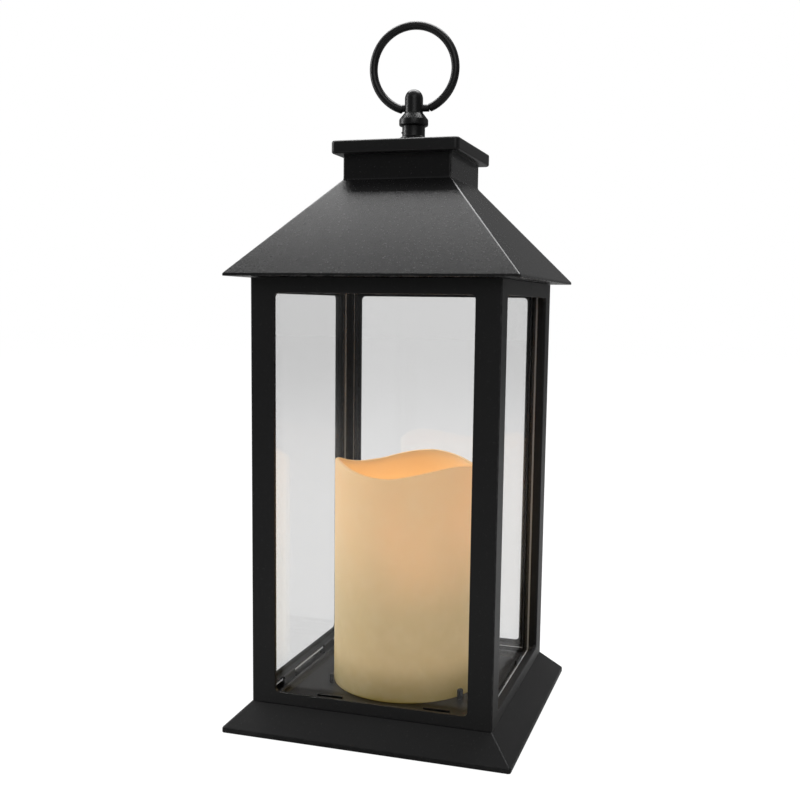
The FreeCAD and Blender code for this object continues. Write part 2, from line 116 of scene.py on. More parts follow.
class Finish:
    # one material: its Principled shader, its Object coordinates and what is usual between them
    def __init__(self, name, **values):
        self.material = bpy.data.materials.new(name)
        self.material.use_nodes = True
        self.tree = self.material.node_tree
        self.tree.nodes.clear()
        self.flow = Flow(self.tree)
        self.shader = self.tree.nodes.new("ShaderNodeBsdfPrincipled")
        self.principled = Flow(self.tree, self.shader.outputs[0])
        self.output = self.tree.nodes.new("ShaderNodeOutputMaterial")
        self.endIn(self.principled)
        self.where = self.flow.node("ShaderNodeTexCoord", output="Object")
        for name, value in values.items():
            self.set(name.replace("_", " ").title().replace("Ior", "IOR"), value)

    def set(self, name, value):
        if isinstance(value, Flow):
            self.tree.links.new(value.socket, self.shader.inputs[name])
        else:
            self.shader.inputs[name].default_value = value

    def endIn(self, shader):
        self.tree.links.new(shader.socket, self.output.inputs["Surface"])

    def blend(self, share, first, second):
        return self.flow.node("ShaderNodeMixShader", {}, {0: share, 1: first, 2: second})

    def noise(self, scale, detail=2.0, roughness=0.5, where=None):
        inputs = {"Vector": where or self.where, "Scale": scale, "Detail": detail, "Roughness": roughness}
        return self.flow.node("ShaderNodeTexNoise", {}, inputs)

    def mix(self, amount, first, second):
        sockets = {0: amount, 6: first, 7: second}
        return self.flow.node("ShaderNodeMix", {"data_type": "RGBA"}, sockets, output=2)

    def axis(self, name):
        return self.flow.node("ShaderNodeSeparateXYZ", {}, {0: self.where}, output="XYZ".index(name))

    def stretched(self, scale):
        return self.flow.node("ShaderNodeMapping", {}, {"Vector": self.where, "Scale": scale})

    def bump(self, height, strength, distance, under=None):
        inputs = {"Height": height, "Strength": strength, "Distance": distance}
        if under:
            inputs["Normal"] = under
        return self.flow.node("ShaderNodeBump", {}, inputs)


def rgb(red, green, blue):
    return (red, green, blue, 1.0)


def grey(level):
    return rgb(level, level, level)


def shade(level, colour):
    return rgb(*[level * part for part in colour])


# in the dictionaries of the finishes a noise is its scale, detail and roughness, a span is where a soft
# change starts and ends, and a bump is its strength and its height in metres

plasticIor = 1.5
acrylicIor = 1.49
mouldedSet = {
    "tone": 0.0115, "darkCloud": (0.88, 0.88, 0.92), "paleCloud": (1.15, 1.15, 1.18),
    "cloudNoise": (14.0, 4.0, 0.55), "cloudRough": 0.04, "rough": 0.40, "specular": 0.34,
    "speck": (0.060, 0.060, 0.062), "speckShare": 0.35,
    "speckNoise": (780.0, 3.0, 0.65), "speckSpan": (0.60, 0.74),
    "scuffNoise": (60.0, 6.0, 0.7), "scuffStretch": (1.0, 1.0, 0.16),
    "scuffSpan": (0.58, 0.80), "scuffRough": -0.03,
    "wornAndLit": (0.075, 0.075, 0.0735), "wornAndLitShare": 0.55, "wornAndLitRough": 0.08,
    "wearAndHighlightNoise": (210.0, 5.0, 0.7), "wearAndHighlightSpan": (0.42, 0.66),
    "fineNoise": (2300.0, 2.0, 0.6), "coarseNoise": (900.0, 2.0, 0.6), "grainBump": (0.75, 3.2e-5),
    "waveNoise": (9.0, 2.0), "waveBump": (0.25, 2e-4),
}


def mouldedFinish(name, tone=1.0, rough=0.0, grain=1.0, speckle=0.0):
    # black plastic with a fine spark-eroded grain, a cloudy sheen and edges rubbed a little paler, the paler
    # edges being partly wear and partly a painted highlight
    s = mouldedSet
    finish = Finish(name, ior=plasticIor, specular_ior_level=s["specular"])
    cloud = finish.noise(*s["cloudNoise"])
    fine = finish.noise(*s["fineNoise"])
    coarse = finish.noise(*s["coarseNoise"])
    speck = finish.noise(*s["speckNoise"]).smooth(*s["speckSpan"])
    scuff = finish.noise(*s["scuffNoise"], finish.stretched(s["scuffStretch"])).smooth(*s["scuffSpan"])
    edge = finish.flow.node("ShaderNodeAttribute", {"attribute_name": "edgeWearAndHighlight"}, output="Fac")
    wearAndHighlight = edge * finish.noise(*s["wearAndHighlightNoise"]).smooth(*s["wearAndHighlightSpan"])
    level = s["tone"] * tone
    colour = finish.mix(cloud, shade(level, s["darkCloud"]), shade(level, s["paleCloud"]))
    colour = finish.mix(speck * s["speckShare"], colour, rgb(*s["speck"]))
    # wear and painted highlight: edges and tops are mixed towards a paler grey
    finish.set("Base Color", finish.mix(wearAndHighlight * s["wornAndLitShare"], colour, rgb(*s["wornAndLit"])))
    sheen = (cloud - 0.5) * s["cloudRough"] + scuff * s["scuffRough"] + wearAndHighlight * s["wornAndLitRough"]
    finish.set("Roughness", sheen + (coarse - 0.5) * speckle + (s["rough"] + rough))
    strength, height = s["grainBump"]
    grainBump = finish.bump(fine + coarse * speckle * 2, strength, height * grain)
    finish.set("Normal", finish.bump(finish.noise(*s["waveNoise"]), *s["waveBump"], grainBump))
    return finish.material


panelSet = {"tint": 0.928, "mirror": (0.95, 0.96, 0.97), "mirrorMost": 0.09, "clearest": 0.004,
            "haze": 0.004, "hazeSpan": (0.06, 0.205),
            "dust": 0.004, "dustNoise": (420.0, 3.0, 0.7), "dustSpan": (0.62, 0.78),
            "rough": 0.02, "smearRough": 0.05, "smearNoise": (16.0, 5.0, 0.6),
            "waveNoise": (5.0, 1.0), "waveBump": (0.10, 6e-4)}


def panelFinish():
    # clear sheet: what is behind shows through, and more of the room is mirrored at a slant
    s = panelSet
    finish = Finish("clearSheet", base_color=rgb(*s["mirror"]), metallic=1.0, ior=acrylicIor)
    finish.set("Roughness", finish.noise(*s["smearNoise"]) * s["smearRough"] + s["rough"])
    finish.set("Normal", finish.bump(finish.noise(*s["waveNoise"]), *s["waveBump"]))
    slant = finish.flow.node("ShaderNodeFresnel", {}, {"IOR": acrylicIor}).maths("MINIMUM", s["mirrorMost"])
    through = finish.flow.node("ShaderNodeBsdfTransparent", {}, {"Color": grey(s["tint"])})
    film = finish.axis("Z").smooth(*s["hazeSpan"]) * s["haze"] + s["clearest"]
    dust = finish.noise(*s["dustNoise"]).smooth(*s["dustSpan"])
    finish.endIn(finish.blend(slant + film + dust * s["dust"], through, finish.principled))
    return finish.material


cutEdgeSet = {"dark": (0.42, 0.43, 0.44), "pale": (0.66, 0.67, 0.68), "rough": 0.32, "sawRough": 0.2,
              "sawNoise": (900.0, 3.0, 0.6), "sawStretch": (1.0, 1.0, 0.08), "sawBump": (0.5, 1e-4)}


def cutEdgeFinish():
    # sawn edge of the clear sheet, frosted and bright
    s = cutEdgeSet
    finish = Finish("sheetEdge", ior=acrylicIor)
    saw = finish.noise(*s["sawNoise"], finish.stretched(s["sawStretch"]))
    finish.set("Base Color", finish.mix(saw, rgb(*s["dark"]), rgb(*s["pale"])))
    finish.set("Roughness", saw * s["sawRough"] + s["rough"])
    finish.set("Normal", finish.bump(saw, *s["sawBump"]))
    return finish.material


waxIor = 1.44
waxSet = {
    "subsurface": 0.18, "subsurfaceDepth": 0.004, "subsurfaceColour": (1.0, 0.55, 0.25),
    "dark": (0.74, 0.63, 0.37), "pale": (0.82, 0.71, 0.44), "cloudNoise": (26.0, 4.0, 0.55),
    "paintedFootShade": (0.56, 0.47, 0.24), "paintedFootShadeShare": 0.55, "paintedFootShadeSpan": (0.085, 0.012),
    "mottle": (0.86, 0.78, 0.58), "mottleShare": 0.25,
    "mottleNoise": (130.0, 3.0, 0.6), "mottleSpan": (0.35, 0.75),
    "rough": 0.36, "cloudRough": 0.14,
    "footGlow": (0.10, 0.07, 0.01), "sideGlow": (0.345, 0.240, 0.105), "sideSpan": (0.014, 0.034),
    "topGlow": (0.56, 0.345, 0.165), "topSpan": (0.050, 0.108),
    "patchGlow": (0.69, 0.355, 0.155), "patchNoise": (17.0, 2.0, 0.5), "patchStretch": (1.0, 1.0, 0.45),
    "patchSpan": (0.32, 0.66), "strength": 1.0, "mottleBump": (0.25, 2.5e-4), "cloudBump": (0.35, 8e-4),
}


def waxFinish():
    # ivory wax sleeve with a painted glow for the lamp's light within, brighter towards its top, and painted
    # shade towards its foot
    s = waxSet
    finish = Finish("ivoryWax", ior=waxIor, subsurface_weight=s["subsurface"],
                    subsurface_scale=s["subsurfaceDepth"], subsurface_radius=s["subsurfaceColour"])
    cloud = finish.noise(*s["cloudNoise"])
    mottle = finish.noise(*s["mottleNoise"])
    height = finish.axis("Z")
    body = finish.mix(cloud, rgb(*s["dark"]), rgb(*s["pale"]))
    # painted shade: the wax is darkened towards its foot, where shade falls near the floor
    body = finish.mix(height.smooth(*s["paintedFootShadeSpan"]) * s["paintedFootShadeShare"], body, rgb(*s["paintedFootShade"]))
    body = finish.mix(mottle.smooth(*s["mottleSpan"]) * s["mottleShare"], body, rgb(*s["mottle"]))
    finish.set("Base Color", body)
    finish.set("Roughness", cloud * s["cloudRough"] + s["rough"])
    # painted glow: the wax emits light, faint at its foot, stronger up its side and at its top, with brighter
    # patches near the top
    top = height.smooth(*s["topSpan"])
    patch = finish.noise(*s["patchNoise"], finish.stretched(s["patchStretch"])).smooth(*s["patchSpan"])
    glow = finish.mix(height.smooth(*s["sideSpan"]), rgb(*s["footGlow"]), rgb(*s["sideGlow"]))
    glow = finish.mix(top, glow, rgb(*s["topGlow"]))
    finish.set("Emission Color", finish.mix(top * patch, glow, rgb(*s["patchGlow"])))
    finish.set("Emission Strength", s["strength"])
    finish.set("Normal", finish.bump(cloud, *s["cloudBump"], finish.bump(mottle, *s["mottleBump"])))
    return finish.material


cupSet = {"dark": (0.80, 0.62, 0.34), "pale": (0.88, 0.72, 0.44), "cloudNoise": (40.0, 3.0, 0.6),
          "rough": 0.35, "cloudRough": 0.2, "cloudBump": (0.3, 6e-4),
          "rimGlow": (0.68, 0.36, 0.15), "deepGlow": (1.0, 0.52, 0.18), "deepSpan": (0.127, 0.098),
          "strength": 0.50}


def cupFinish():
    # inside of the cup, with a painted glow for the lamp's light shining through
    s = cupSet
    finish = Finish("litCup", ior=waxIor)
    cloud = finish.noise(*s["cloudNoise"])
    finish.set("Base Color", finish.mix(cloud, rgb(*s["dark"]), rgb(*s["pale"])))
    finish.set("Roughness", cloud * s["cloudRough"] + s["rough"])
    # painted glow: the cup emits more light deeper down, towards the lamp
    deep = finish.axis("Z").smooth(*s["deepSpan"])
    finish.set("Emission Color", finish.mix(deep, rgb(*s["rimGlow"]), rgb(*s["deepGlow"])))
    finish.set("Emission Strength", s["strength"])
    finish.set("Normal", finish.bump(cloud, *s["cloudBump"]))
    return finish.material


flameSet = {"dark": (0.95, 0.80, 0.55), "pale": (1.0, 0.88, 0.66), "cloudNoise": (300.0, 2.0), "rough": 0.3,
            "cloudBump": (0.2, 1e-4), "footGlow": (1.0, 0.50, 0.14), "tipGlow": (1.0, 0.80, 0.42),
            "tipSpan": (0.096, 0.112), "strength": 3.0, "ior": 1.46}


def flameFinish():
    # flame-shaped diffuser, paler and hotter towards its tip
    s = flameSet
    finish = Finish("flameDiffuser", ior=s["ior"], roughness=s["rough"])
    cloud = finish.noise(*s["cloudNoise"])
    tip = finish.axis("Z").smooth(*s["tipSpan"])
    finish.set("Base Color", finish.mix(cloud, rgb(*s["dark"]), rgb(*s["pale"])))
    finish.set("Emission Color", finish.mix(tip, rgb(*s["footGlow"]), rgb(*s["tipGlow"])))
    finish.set("Emission Strength", s["strength"])
    finish.set("Normal", finish.bump(cloud, *s["cloudBump"]))
    return finish.material


softPlasticSet = {"cloudNoise": (34.0, 4.0, 0.6), "fineNoise": (1500.0, 2.0), "cloudRough": 0.16,
                  "fineBump": (0.5, 2e-5), "cloudBump": (0.2, 3e-4), "dimGlow": 0.85, "strength": 1.2}


def softPlasticFinish(name, dark, pale, rough, glow=None):
    # plain moulded plastic with flow marks and a light skin
    s = softPlasticSet
    finish = Finish(name, ior=plasticIor)
    cloud = finish.noise(*s["cloudNoise"])
    skin = finish.bump(cloud, *s["cloudBump"])
    finish.set("Base Color", finish.mix(cloud, rgb(*dark), rgb(*pale)))
    finish.set("Roughness", cloud * s["cloudRough"] + rough - s["cloudRough"] / 2)
    finish.set("Normal", finish.bump(finish.noise(*s["fineNoise"]), *s["fineBump"], skin))
    if glow:
        finish.set("Emission Color", finish.mix(cloud, rgb(*glow), shade(s["dimGlow"], glow)))
        finish.set("Emission Strength", s["strength"])
    return finish.material


metalSet = {"brushNoise": (1400.0, 3.0, 0.6), "brushRough": 0.12, "brushBump": (0.4, 1.5e-5),
            "stainNoise": (160.0, 4.0, 0.65), "stainSpan": (0.45, 0.75), "stainRough": 0.16}


def metalFinish(name, dark, pale, rough, stretch=(1.0, 1.0, 1.0)):
    # plated metal, faintly brushed, with duller patches
    s = metalSet
    finish = Finish(name, metallic=1.0)
    brush = finish.noise(*s["brushNoise"], finish.stretched(stretch))
    stain = finish.noise(*s["stainNoise"]).smooth(*s["stainSpan"])
    finish.set("Base Color", finish.mix(stain, rgb(*pale), rgb(*dark)))
    finish.set("Roughness", brush * s["brushRough"] + stain * s["stainRough"] + rough)
    finish.set("Normal", finish.bump(brush, *s["brushBump"]))
    return finish.material


boardSet = {"mask": (0.012, 0.130, 0.050), "track": (0.030, 0.230, 0.090), "pad": (0.60, 0.60, 0.58),
            "part": (0.020, 0.020, 0.022), "trackScale": 260.0, "trackBend": 6.0, "trackSpan": (0.72, 0.80),
            "padScale": 340.0, "padSpan": (0.20, 0.26), "padMetal": 0.9, "faceSpan": (0.0327, 0.0329),
            "rough": 0.28, "partRough": 0.25, "trackBump": (0.6, 4e-5)}


def boardFinish():
    # green solder mask with tracks and tinned pads, and black parts above its face
    s = boardSet
    finish = Finish("circuitBoard", ior=plasticIor)
    wave = {"Vector": finish.where, "Scale": s["trackScale"], "Distortion": s["trackBend"], "Detail": 1.0}
    lines = finish.flow.node("ShaderNodeTexWave", {"bands_direction": "DIAGONAL"}, wave)
    track = lines.smooth(*s["trackSpan"])
    dots = finish.flow.node("ShaderNodeTexVoronoi", {}, {"Vector": finish.where, "Scale": s["padScale"]})
    part = finish.axis("Z").smooth(*s["faceSpan"])
    pad = (1 - dots.smooth(*s["padSpan"])) * (1 - part)
    green = finish.mix(track, rgb(*s["mask"]), rgb(*s["track"]))
    green = finish.mix(pad, green, rgb(*s["pad"]))
    finish.set("Base Color", finish.mix(part, green, rgb(*s["part"])))
    finish.set("Metallic", pad * s["padMetal"])
    finish.set("Roughness", part * s["partRough"] + s["rough"])
    finish.set("Normal", finish.bump(track, *s["trackBump"]))
    return finish.material


cellSet = {"low": -0.0212, "high": 0.0224, "cap": 0.0115, "end": 0.0007, "soft": 0.0001,
           "sleeve": (0.012, 0.030, 0.085), "copper": (0.55, 0.24, 0.09), "bare": (0.66, 0.66, 0.65),
           "bareMetal": 0.85, "copperMetal": 0.6, "rough": 0.18, "scratchRough": 0.18,
           "scratchNoise": (500.0, 4.0, 0.7), "scratchStretch": (0.15, 1.0, 1.0), "scratchBump": (0.3, 2e-5)}


def cellFinish(name, way):
    # AAA cell: two-colour sleeve and bare metal ends, way is +1 when its nub is towards +X
    s = cellSet
    finish = Finish(name, ior=plasticIor)
    along = finish.axis("X") * way

    def past(place):
        return along.smooth(place - s["soft"], place + s["soft"])

    scratch = finish.noise(*s["scratchNoise"], finish.stretched(s["scratchStretch"]))
    copper = past(s["high"] - s["cap"])
    bare = past(s["high"] - s["end"]) + (1 - past(s["low"] + s["end"]))
    sleeve = finish.mix(copper, rgb(*s["sleeve"]), rgb(*s["copper"]))
    finish.set("Base Color", finish.mix(bare, sleeve, rgb(*s["bare"])))
    finish.set("Metallic", bare * s["bareMetal"] + copper * (1 - bare) * s["copperMetal"])
    finish.set("Roughness", scratch * s["scratchRough"] + s["rough"])
    finish.set("Normal", finish.bump(scratch, *s["scratchBump"]))
    return finish.material


blackPlastic = mouldedFinish("blackPlastic")
roofPlastic = mouldedFinish("roofPlastic", rough=-0.15, grain=1.2, speckle=0.13)
trayPlastic = mouldedFinish("trayPlastic", tone=2.2, rough=-0.08, grain=0.35)
ringPlastic = mouldedFinish("ringPlastic", rough=-0.06, grain=0.5)
clearSheet = panelFinish()
sheetEdge = cutEdgeFinish()
ivoryWax = waxFinish()
litCup = cupFinish()
flameDiffuser = flameFinish()
print("finishes made")


# every piece is drawn in millimetres and scaled to metres when it is finished

perMetre = 1000
near = 0.01     # a point this close to a wall lies in it
facing = 0.9    # a face whose normal has more than this of an axis looks along it


def finishPiece(name, bm, body, replaced, materials, sharpFrom=35.0, weigh=True):
    bmesh.ops.scale(bm, vec=[1 / perMetre] * 3, verts=bm.verts)
    mesh = bpy.data.meshes.new(name)
    bm.to_mesh(mesh)
    bm.free()
    piece = bpy.data.objects.new(name, mesh)
    scene.collection.objects.link(piece)
    for material in materials:
        mesh.materials.append(material)
    mesh.shade_smooth()
    mesh.set_sharp_from_angle(angle=math.radians(sharpFrom))
    if weigh:
        shading = piece.modifiers.new("faceWeights", "WEIGHTED_NORMAL")
        shading.keep_sharp = True
    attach(piece, body)
    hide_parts(*replaced)
    print("made", name, len(mesh.polygons), "faces")
    return piece


def boxMillimetres(node):
    low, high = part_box(node)
    return low * perMetre, high * perMetre


def ringEdges(verts):
    return list(dict.fromkeys(edge for vert in verts for edge in vert.link_edges))


def turnRound(bm, verts, degrees):
    bmesh.ops.rotate(bm, verts=verts, cent=(0, 0, 0), matrix=Matrix.Rotation(math.radians(degrees), 3, "Z"))


def addedSince(bm, before):
    return [vert for vert in bm.verts if vert not in before]


cornerSteps = 5     # steps round the corner of a square outline
roundSteps = 4 * (cornerSteps + 1)


def squareRing(bm, half, height, radius):
    # square outline with rounded corners, returned as its edges
    place = Matrix.Translation((0, 0, height)) @ Matrix.Rotation(math.radians(45), 4, "Z")
    made = bmesh.ops.create_circle(bm, segments=4, radius=half * math.sqrt(2), matrix=place)
    made = bmesh.ops.bevel(bm, geom=made["verts"], offset=radius, offset_type="OFFSET", segments=cornerSteps,
                           profile=0.5, affect="VERTICES", material=-1)
    return ringEdges(made["verts"])


def roundRing(bm, radius, height):
    # round outline whose points stand beside those of a square one
    turn = Matrix.Rotation(math.radians(45 - 180 / roundSteps), 4, "Z")
    place = Matrix.Translation((0, 0, height)) @ turn
    made = bmesh.ops.create_circle(bm, segments=roundSteps, radius=radius, matrix=place)
    return ringEdges(made["verts"])


def inTurn(edges):
    # the edges of a ring in their order round Z, from just before +X
    def turnOf(edge):
        middle = (edge.verts[0].co + edge.verts[1].co) / 2
        return math.degrees(math.atan2(middle.y, middle.x) + 0.17) % 360
    return sorted(edges, key=turnOf)


def joinRings(bm, rings):
    # walls from each ring to the next one and from the last back to the first
    for first, second in zip(rings, rings[1:] + rings[:1]):
        for pair in zip(inTurn(first), inTurn(second)):
            bmesh.ops.contextual_create(bm, geom=list(pair))


def softenEdges(bm, edges, width, steps=3):
    bmesh.ops.bevel(bm, geom=[edge for edge in edges if edge.is_valid], offset=width, offset_type="OFFSET",
                    segments=steps, profile=0.5, affect="EDGES", material=-1, clamp_overlap=True)


def addBlock(bm, low, high, soft=0.0, steps=2):
    size = [b - a for a, b in zip(low, high)]
    middle = [(a + b) / 2 for a, b in zip(low, high)]
    place = Matrix.Translation(middle) @ Matrix.Diagonal((*size, 1.0))
    made = bmesh.ops.create_cube(bm, size=1.0, matrix=place)
    if soft:
        softenEdges(bm, ringEdges(made["verts"]), soft, steps)


def turnedBody(outline, steps):
    # spins a closed or axis-to-axis outline of (radius, height) points about Z
    bm = bmesh.new()
    verts = [bm.verts.new((radius, 0, height)) for radius, height in outline]
    edges = [bm.edges.new(pair) for pair in zip(verts, verts[1:])]
    bmesh.ops.spin(bm, geom=verts + edges, cent=(0, 0, 0), axis=(0, 0, 1), angle=math.tau, steps=steps,
                   use_merge=True)
    bmesh.ops.remove_doubles(bm, verts=bm.verts, dist=1e-4)
    bmesh.ops.delete(bm, geom=[edge for edge in bm.edges if edge.is_wire], context="EDGES")
    bmesh.ops.recalc_face_normals(bm, faces=bm.faces)
    return bm


def reachOf(point):
    return max(abs(point.x), abs(point.y))


def onHip(point, width):
    # 1 on the diagonal edge between two sides, less beside it and 0 at width
    return 1.0 - abs(abs(point.x) - abs(point.y)) / width


def markWearAndHighlight(piece, wearAndHighlightOf):
    # stores how rubbed each point is and how much painted highlight it takes, from 0 to 1, for the finish to
    # read
    values = piece.data.attributes.new("edgeWearAndHighlight", "FLOAT", "POINT")
    for vert in piece.data.vertices:
        values.data[vert.index].value = max(0.0, min(1.0, wearAndHighlightOf(vert.co * perMetre)))


skirtTop = boxMillimetres("base_skirt")[1]
skirtSet = {
    "half": skirtTop.x, "lip": 2.4, "wall": 2.6, "deckHalf": 60.0, "deck": 13.6, "deckUnder": 11.0,
    "opening": 52.3, "openingCorner": 8.4, "ledge": 9.6, "ledgeUnder": 7.2, "ledgeOpening": 38.0,
    "ledgeCorner": 4.0, "pocket": 2.4, "pocketCorner": 10.0,
    "corner": 1.3, "deckCorner": 0.7, "innerCorner": 0.8, "lean": 0.2,
    "softEdge": 0.55, "softFoot": 0.45, "softLedge": 0.4,
    "ribAt": (-30.0, 0.0, 30.0), "ribHalf": 0.9, "ribReach": (-61.0, -54.5), "ribZ": (4.0, 11.2),
    "ribFoot": -66.0, "armAt": 9.0, "armHalf": 13.0, "armReach": (-54.9, -53.0), "armFrom": 13.0,
    "armTop": skirtTop.z, "armSoft": 0.5,
    "wornAndLitHip": 0.65, "wornAndLitLip": 0.25, "lipReach": 70.6,
}


def makeSkirt():
    # sloping base moulding with its ledge, ribs under the slope and arms that grip the body
    s = skirtSet
    bm = bmesh.new()
    inner = s["half"] - s["wall"]
    pocket = s["opening"] + s["pocket"]
    outline = [(s["half"], 0.0, s["corner"]), (s["half"], s["lip"], s["corner"]),
               (s["deckHalf"], s["deck"], s["deckCorner"]), (s["opening"], s["deck"], s["openingCorner"]),
               (s["opening"], s["ledge"], s["openingCorner"]),
               (s["ledgeOpening"], s["ledge"], s["ledgeCorner"]),
               (s["ledgeOpening"], s["ledgeUnder"], s["ledgeCorner"]),
               (pocket, s["ledgeUnder"], s["pocketCorner"]), (pocket, s["deckUnder"], s["pocketCorner"]),
               (s["deckHalf"] - s["lean"], s["deckUnder"], s["innerCorner"]),
               (inner, s["lip"], s["innerCorner"]), (inner, 0.0, s["innerCorner"])]
    rings = [squareRing(bm, *row) for row in outline]
    joinRings(bm, rings)
    softenEdges(bm, rings[1] + rings[2], s["softEdge"])
    softenEdges(bm, rings[0] + rings[11], s["softFoot"])
    softenEdges(bm, rings[3] + rings[6], s["softLedge"])
    for quarter in range(4):
        before = set(bm.verts)
        for at in s["ribAt"]:
            addBlock(bm, (at - s["ribHalf"], s["ribReach"][0], s["ribZ"][0]),
                     (at + s["ribHalf"], s["ribReach"][1], s["ribZ"][1]))
        for vert in addedSince(bm, before):
            if vert.co.y < s["ribReach"][0] + 1 and vert.co.z < s["ribZ"][0] + 1:
                vert.co.y = s["ribFoot"]
        addBlock(bm, (s["armAt"] - s["armHalf"], s["armReach"][0], s["armFrom"]),
                 (s["armAt"] + s["armHalf"], s["armReach"][1], s["armTop"]), s["armSoft"])
        turnRound(bm, addedSince(bm, before), 90 * quarter)
    bmesh.ops.recalc_face_normals(bm, faces=bm.faces)
    piece = finishPiece("baseSkirt", bm, "base", ["base_skirt"], [blackPlastic])

    # paler hips and foot lip: partly wear, partly painted highlight
    def wearAndHighlightOf(co):
        hip = onHip(co, s["wornAndLitHip"]) if reachOf(co) > s["deckHalf"] - 2 else 0.0
        lip = s["wornAndLitLip"] if co.z < s["lip"] + 0.2 and reachOf(co) > s["lipReach"] else 0.0
        return max(hip, lip)
    markWearAndHighlight(piece, wearAndHighlightOf)


traySet = {"half": 51.8, "rim": 15.2, "rimWide": 1.8, "floor": 12.0, "under": 9.6, "corner": 8.0,
           "hole": 31.5, "fillet": 1.6, "filletSteps": 3, "softRim": 0.5, "softHole": 0.3,
           "bossAt": 43.5, "boss": 3.4, "bossZ": (7.3, 10.0), "bossSteps": 24,
           "tabAt": 38.5, "tabThick": 2.4, "tabHalf": 1.5, "tabHeight": 5.0, "tabSunk": 0.5, "tabSoft": 0.9,
           "firstTab": -30, "wornAndLit": 0.5, "wornAndLitFrom": 14.9}


def makeTray():
    # floor with a raised rim, a round hole under the candle and three tabs that locate it
    s = traySet
    bm = bmesh.new()
    inner = s["half"] - s["rimWide"]
    innerCorner = s["corner"] - s["rimWide"]
    rings = [squareRing(bm, s["half"], height, s["corner"]) for height in (s["under"], s["rim"])]
    rings.append(squareRing(bm, inner, s["rim"], innerCorner))
    for step in range(s["filletSteps"] + 1):
        angle = math.radians(90 * step / s["filletSteps"])
        inward = s["fillet"] * (1 - math.cos(angle))
        height = s["floor"] + s["fillet"] * (1 - math.sin(angle))
        rings.append(squareRing(bm, inner - inward, height, innerCorner - inward * 0.5))
    rings += [roundRing(bm, s["hole"], height) for height in (s["floor"], s["under"])]
    joinRings(bm, rings)
    softenEdges(bm, rings[1] + rings[2], s["softRim"])
    softenEdges(bm, rings[-2] + rings[-1], s["softHole"], 2)
    bossLow, bossHigh = s["bossZ"]
    for sx in (-1, 1):
        for sy in (-1, 1):
            place = Matrix.Translation((sx * s["bossAt"], sy * s["bossAt"], (bossLow + bossHigh) / 2))
            bmesh.ops.create_cone(bm, cap_ends=True, segments=s["bossSteps"], radius1=s["boss"],
                                  radius2=s["boss"], depth=bossHigh - bossLow, matrix=place)
    for third in range(3):
        before = set(bm.verts)
        addBlock(bm, (s["tabAt"], -s["tabHalf"], s["floor"] - s["tabSunk"]),
                 (s["tabAt"] + s["tabThick"], s["tabHalf"], s["floor"] + s["tabHeight"]), s["tabSoft"], 3)
        turnRound(bm, addedSince(bm, before), 120 * third + s["firstTab"])
    bmesh.ops.recalc_face_normals(bm, faces=bm.faces)
    piece = finishPiece("floorTray", bm, "base", ["floor_tray"], [trayPlastic])
    # paler rim top: partly wear, partly painted highlight
    markWearAndHighlight(piece, lambda co: s["wornAndLit"] if co.z > s["wornAndLitFrom"] else 0.0)


frameLow, frameHigh = boxMillimetres("front_frame")
panelLow, panelHigh = boxMillimetres("window_front")
bodySet = {
    "half": frameHigh.x, "bottom": frameLow.z, "top": frameHigh.z, "wall": 4.7,
    "corner": 0.7, "innerCorner": 0.8, "window": 48.0, "sill": 19.4, "head": 211.4,
    "windowCorner": 2.2, "softWindow": 0.5, "skin": 1.8,
    "rebate": 49.8, "rebateLow": 17.6, "rebateHigh": 213.2, "seam": 0.1, "seamAt": 5.5,
    "softPanel": 0.15, "wornAndLit": 0.9, "wornAndLitFrom": 59.4,
}
hookSet = {"at": (31.5, -22.0), "half": 6.5, "from": 13.9, "thick": 1.4, "lap": 2.2, "gap": 0.2, "panel": 1.2,
           "sunk": 0.3, "under": 0.1, "softFoot": 0.2, "softLip": 0.35}
wallSides = [(axis, side) for axis in (0, 1) for side in (-1, 1)]


def onWall(verts, axis, reach):
    return all(abs(abs(vert.co[axis]) - reach) < near for vert in verts)


def openRim(bm, axis, side, reach):
    # the open edges that lie in one wall
    return [edge for edge in bm.edges if edge.is_boundary
            and all(abs(side * vert.co[axis] - reach) < near for vert in edge.verts)]


def openWalls(bm, reach, end, half, low, high):
    # opens a rounded window in the four walls that lie at reach, and turns its rim through the wall to end
    def wallFaces():
        return [face for face in bm.faces if onWall(face.verts, 0, reach) or onWall(face.verts, 1, reach)]

    cuts = [((side * half, 0, 0), (1, 0, 0)) for side in (-1, 1)]
    cuts += [((0, side * half, 0), (0, 1, 0)) for side in (-1, 1)]
    cuts += [((0, 0, height), (0, 0, 1)) for height in (low, high)]
    for place, normal in cuts:
        walls = wallFaces()
        edges = dict.fromkeys(edge for face in walls for edge in face.edges)
        verts = dict.fromkeys(vert for face in walls for vert in face.verts)
        bmesh.ops.bisect_plane(bm, geom=walls + list(edges) + list(verts), plane_co=place, plane_no=normal)
    opened = []
    for face in wallFaces():
        middle = face.calc_center_median()
        if low < middle.z < high and min(abs(middle.x), abs(middle.y)) < half:
            opened.append(face)
    bmesh.ops.delete(bm, geom=opened, context="FACES")
    for axis, side in wallSides:
        made = bmesh.ops.extrude_edge_only(bm, edges=openRim(bm, axis, side, reach))
        fresh = [item for item in made["geom"] if isinstance(item, bmesh.types.BMVert)]
        for vert in fresh:
            vert.co[axis] = side * end
        corners = [edge for vert in fresh for edge in vert.link_edges if not edge.is_boundary]
        softenEdges(bm, corners, bodySet["windowCorner"], 4)


def isWindowRim(edge):
    # edge of a window hole on the outer face of the body
    s = bodySet
    margin = 0.1
    for axis in (0, 1):
        if onWall(edge.verts, axis, s["half"]):
            flat = all(abs(face.normal[axis]) > facing for face in edge.link_faces)
            inHeight = all(s["sill"] - margin < vert.co.z < s["head"] + margin for vert in edge.verts)
            inWidth = all(abs(vert.co[1 - axis]) < s["window"] + margin for vert in edge.verts)
            return inHeight and inWidth and not flat
    return False


